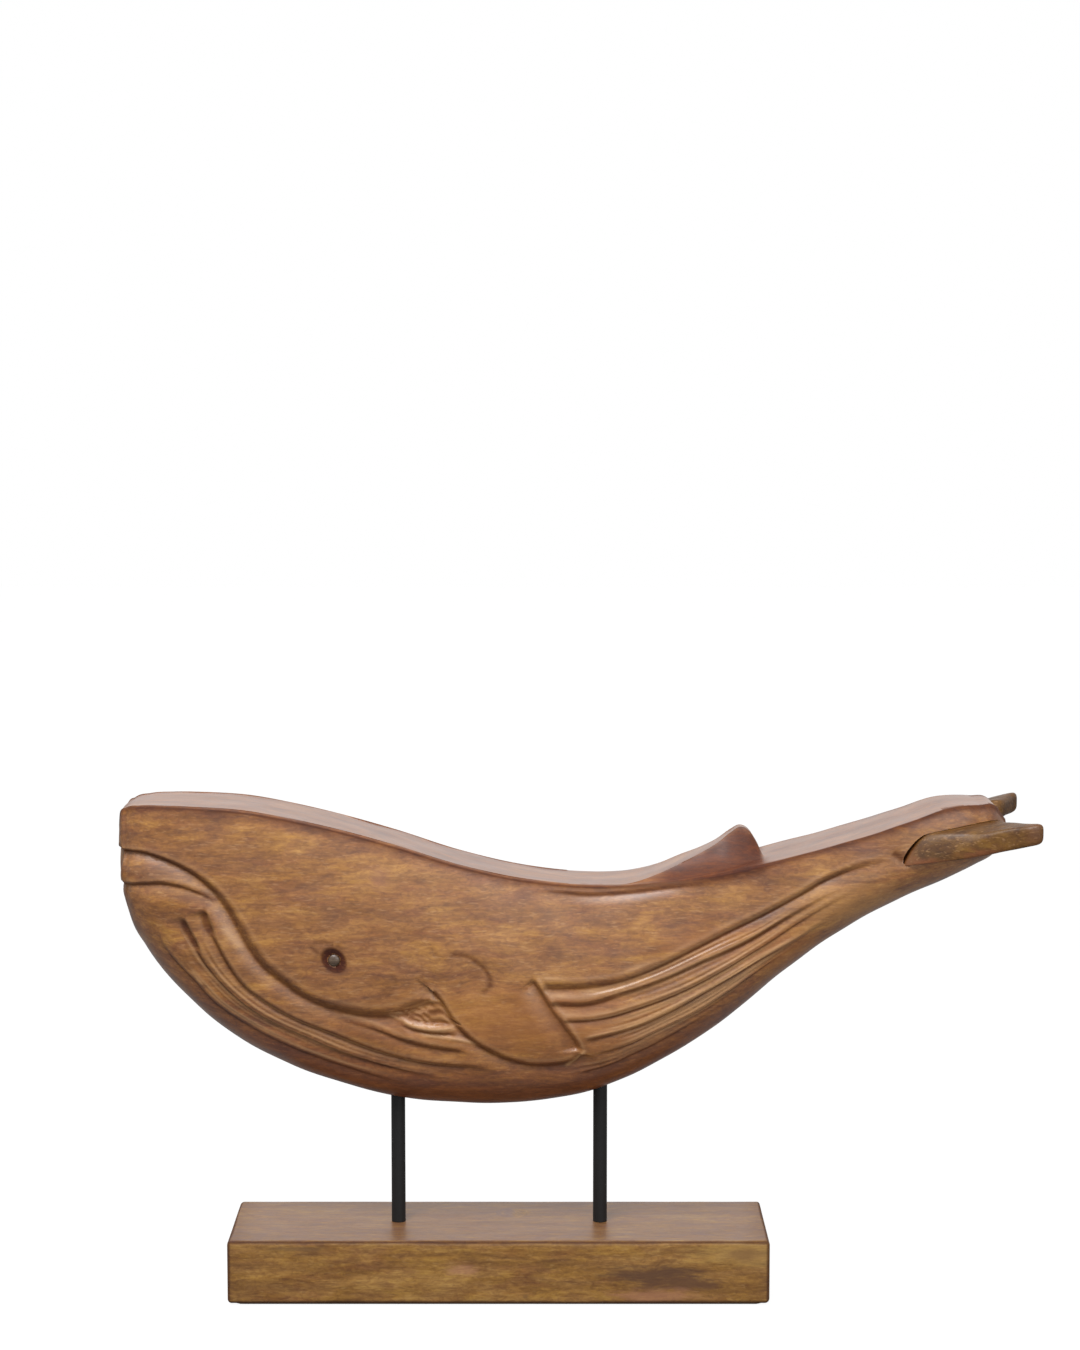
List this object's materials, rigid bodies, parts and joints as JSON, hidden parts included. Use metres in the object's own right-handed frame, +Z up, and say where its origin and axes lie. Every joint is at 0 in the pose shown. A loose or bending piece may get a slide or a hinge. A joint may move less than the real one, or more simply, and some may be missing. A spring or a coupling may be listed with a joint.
{
  "type": "whale figurine",
  "caption": "Carved wooden whale ornament with relief flippers, standing on slim metal posts over a rectangular wooden block base.",
  "frame": {"origin": "on the surface that the figurine stands on, under the middle of the base", "axes": "+X from the nose to the tail, +Z up, the whale's left flank faces -Y"},
  "size_m": [0.6112, 0.121, 0.3349],
  "materials": {
    "body_wood": "stained and lacquered hardwood, satin",
    "fluke_wood": "stained and lacquered hardwood, satin",
    "dowel_wood": "bare beech",
    "eye_wood": "dark stained hardwood, satin",
    "post_coating": "matte black powder coat on steel",
    "zinc_steel": "zinc plated",
    "base_wood": "stained and lacquered hardwood, satin",
    "felt": "pressed felt, glued on"
  },
  "bodies": {
    "root": {"whale_body": "body_wood", "left_fluke": "fluke_wood", "right_fluke": "fluke_wood", "left_fluke_dowels": "dowel_wood", "right_fluke_dowels": "dowel_wood", "left_eye": "eye_wood", "right_eye": "eye_wood", "front_post": "post_coating", "rear_post": "post_coating", "front_insert": "zinc_steel", "rear_insert": "zinc_steel", "front_washer": "zinc_steel", "rear_washer": "zinc_steel", "front_nut": "zinc_steel", "rear_nut": "zinc_steel", "base_block": "base_wood", "base_felt": "felt"}
  },
  "joints": []
}
